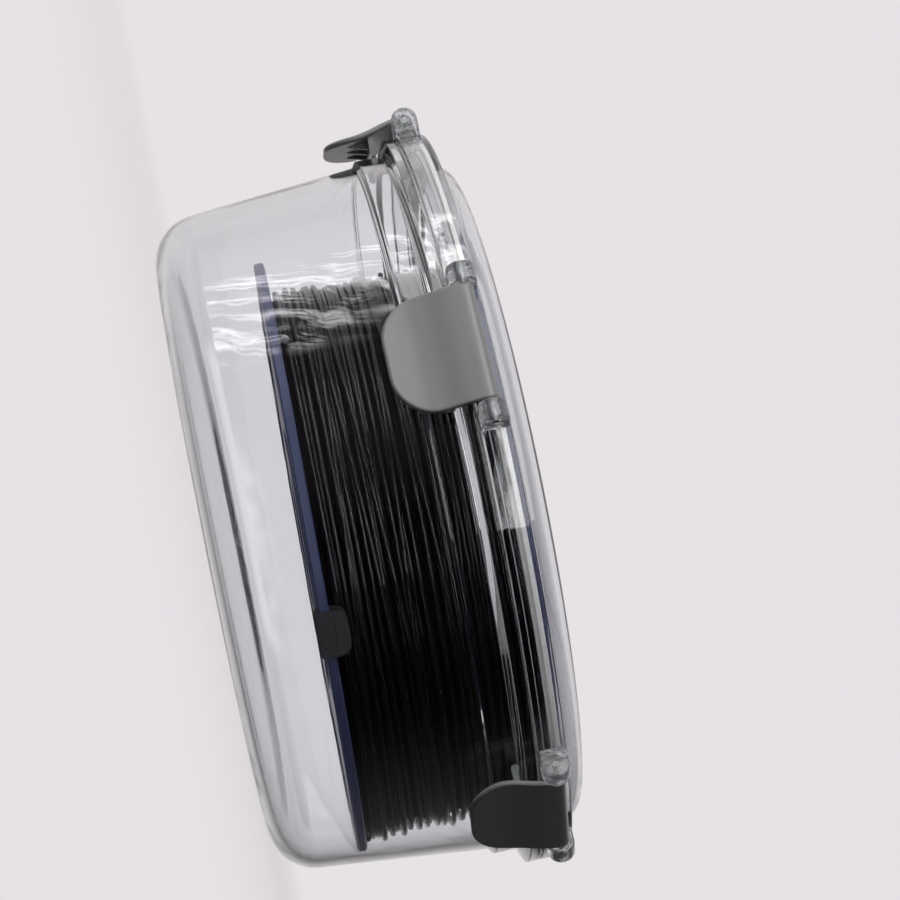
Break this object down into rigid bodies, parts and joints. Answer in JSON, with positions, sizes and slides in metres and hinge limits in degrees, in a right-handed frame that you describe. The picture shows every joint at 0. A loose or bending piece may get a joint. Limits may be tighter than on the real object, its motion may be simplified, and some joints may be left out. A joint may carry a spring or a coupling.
{
  "type": "filament dry box",
  "caption": "Round clear storage tub with a raised clear lid, silicone gasket, hooked side latches and a vent button, holding a loose spool of black filament.",
  "frame": {"origin": "centre of the tub's flat underside, on the tub's axis", "axes": "+Z along the tub's axis from its underside to the lid; -Y towards the first latch; the others follow at equal angles"},
  "size_m": [0.2604, 0.2502, 0.1006],
  "materials": {
    "clear_shell": "clear moulded copolyester, polished",
    "silicone": "translucent silicone, satin",
    "latch_grey": "moulded grey polypropylene, satin",
    "pin_steel": "drawn stainless wire",
    "spring_steel": "coiled stainless wire",
    "spool_blue": "moulded navy plastic, satin",
    "filament_black": "extruded filament, glossy",
    "clip_black": "moulded black plastic",
    "canister_white": "moulded white plastic, satin",
    "silica_gel": "orange silica gel beads"
  },
  "bodies": {
    "tub": {"tub": "clear_shell"},
    "lid": {"lid": "clear_shell", "gasket": "silicone", "latch_pin_1": "pin_steel", "latch_pin_2": "pin_steel", "latch_pin_3": "pin_steel", "latch_pin_4": "pin_steel", "latch_pin_5": "pin_steel", "valve_seal": "silicone", "valve_spring": "spring_steel"},
    "latch_1": {"latch_1": "latch_grey"},
    "latch_2": {"latch_2": "latch_grey"},
    "latch_3": {"latch_3": "latch_grey"},
    "latch_4": {"latch_4": "latch_grey"},
    "latch_5": {"latch_5": "latch_grey"},
    "vent_button": {"valve_button": "latch_grey"},
    "spool": {"spool_flange_lower": "spool_blue", "spool_flange_upper": "spool_blue", "spool_hub": "spool_blue", "filament_winding": "filament_black", "filament_clip": "clip_black", "desiccant_canister": "canister_white", "desiccant_cap": "canister_white", "desiccant_beads": "silica_gel"}
  },
  "joints": [
    {"name": "lid_lift", "type": "slide", "parent": "tub", "child": "lid", "axis": [0, 0, 1], "range_m": [0, 0.018]},
    {"name": "latch_1_swing", "type": "hinge", "parent": "lid", "child": "latch_1", "pos_m": [0, -0.1244, 0.0887], "axis": [-1, 0, 0], "range_deg": [0, 120]},
    {"name": "latch_2_swing", "type": "hinge", "parent": "lid", "child": "latch_2", "pos_m": [0.11831, -0.03844, 0.0887], "axis": [-0.309, -0.9511, 0], "range_deg": [0, 120]},
    {"name": "latch_3_swing", "type": "hinge", "parent": "lid", "child": "latch_3", "pos_m": [0.07312, 0.10064, 0.0887], "axis": [0.809, -0.5878, 0], "range_deg": [0, 120]},
    {"name": "latch_4_swing", "type": "hinge", "parent": "lid", "child": "latch_4", "pos_m": [-0.07312, 0.10064, 0.0887], "axis": [0.809, 0.5878, 0], "range_deg": [0, 120]},
    {"name": "latch_5_swing", "type": "hinge", "parent": "lid", "child": "latch_5", "pos_m": [-0.11831, -0.03844, 0.0887], "axis": [-0.309, 0.9511, 0], "range_deg": [0, 120]},
    {"name": "button_press", "type": "slide", "parent": "lid", "child": "vent_button", "axis": [0, 0, -1], "range_m": [0, 0.0015], "stiffness_N_per_m": 300, "deforming": ["valve_spring"]},
    {"name": "spool_slide", "type": "slide", "parent": "tub", "child": "spool", "axis": [-0.3689, -0.1453, -0.9181], "range_m": [0, 0.0239]}
  ],
  "couplings": [
    {"joint": "latch_1_swing", "follows": "lid_lift", "rad_per_m": 116.35},
    {"joint": "latch_2_swing", "follows": "lid_lift", "rad_per_m": 116.35},
    {"joint": "latch_3_swing", "follows": "lid_lift", "rad_per_m": 116.35},
    {"joint": "latch_4_swing", "follows": "lid_lift", "rad_per_m": 116.35},
    {"joint": "latch_5_swing", "follows": "lid_lift", "rad_per_m": 116.35}
  ]
}
